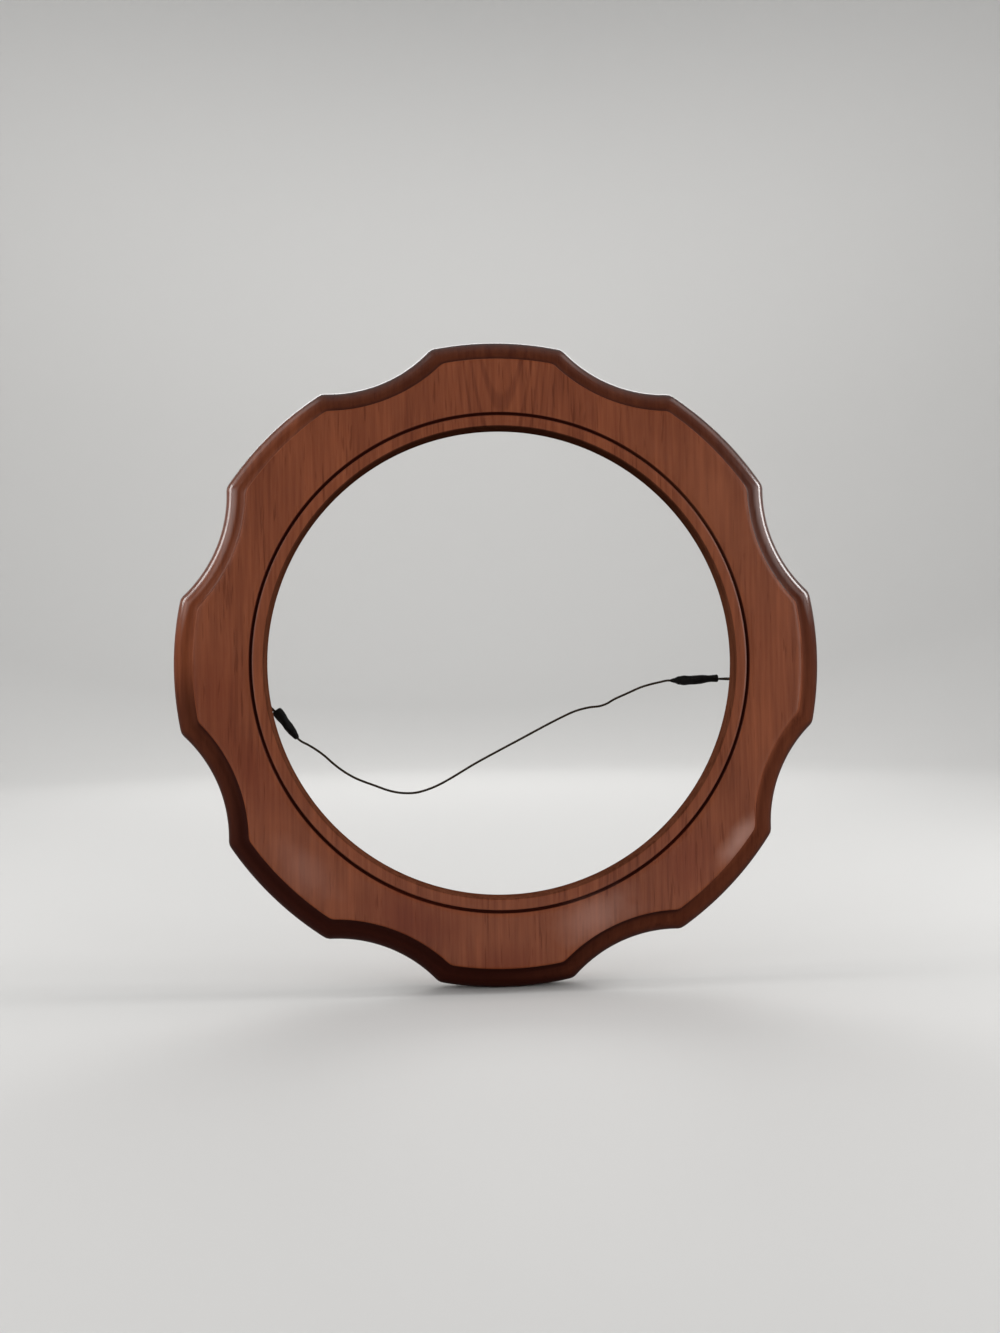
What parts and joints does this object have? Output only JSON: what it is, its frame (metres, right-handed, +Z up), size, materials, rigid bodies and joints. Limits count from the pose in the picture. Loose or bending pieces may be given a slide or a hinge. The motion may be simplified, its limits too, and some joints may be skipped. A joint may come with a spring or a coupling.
{
  "type": "plate display frame",
  "caption": "Round scalloped wooden wall frame with a moulded edge and a rear rabbet that holds a display plate behind turn buttons, hung by a slack picture wire.",
  "frame": {"origin": "on the ring's axis, in the plane of its back, which faces the wall", "axes": "+Z up as it hangs, +Y out of the back towards the wall, -Y out of the face towards the viewer, +X to the viewer's right"},
  "size_m": [0.294, 0.0303, 0.294],
  "materials": {
    "stained_wood": "reddish brown stain under satin lacquer, grain upright all over",
    "brass_plate": "dull brass plating",
    "zinc_steel": "zinc plated, stamped",
    "picture_wire": "dark stranded wire",
    "black_sleeve": "matt black shrunk sleeve"
  },
  "bodies": {
    "ring": {"frame_ring": "stained_wood", "left_screw_eye": "brass_plate", "right_screw_eye": "brass_plate", "button_screw_upper_right": "brass_plate", "button_screw_upper_left": "brass_plate", "button_screw_lower_left": "brass_plate", "button_screw_lower_right": "brass_plate"},
    "wire": {"hanging_wire": "picture_wire", "left_wire_loop": "picture_wire", "right_wire_loop": "picture_wire", "left_wire_sleeve": "black_sleeve", "right_wire_sleeve": "black_sleeve"},
    "button_upper_right": {"turn_button_upper_right": "zinc_steel"},
    "button_upper_left": {"turn_button_upper_left": "zinc_steel"},
    "button_lower_left": {"turn_button_lower_left": "zinc_steel"},
    "button_lower_right": {"turn_button_lower_right": "zinc_steel"}
  },
  "joints": [
    {"name": "wire_swing", "type": "hinge", "parent": "ring", "child": "wire", "pos_m": [0, 0.006, -0.005], "axis": [1, 0, 0], "range_deg": [-20, 180]},
    {"name": "button_upper_right_turn", "type": "hinge", "parent": "ring", "child": "button_upper_right", "pos_m": [0.08556, 0.0009, 0.08556], "axis": [0, 1, 0], "continuous": true},
    {"name": "button_upper_left_turn", "type": "hinge", "parent": "ring", "child": "button_upper_left", "pos_m": [-0.08556, 0.0009, 0.08556], "axis": [0, 1, 0], "continuous": true},
    {"name": "button_lower_left_turn", "type": "hinge", "parent": "ring", "child": "button_lower_left", "pos_m": [-0.08556, 0.0009, -0.08556], "axis": [0, 1, 0], "continuous": true},
    {"name": "button_lower_right_turn", "type": "hinge", "parent": "ring", "child": "button_lower_right", "pos_m": [0.08556, 0.0009, -0.08556], "axis": [0, 1, 0], "continuous": true}
  ]
}
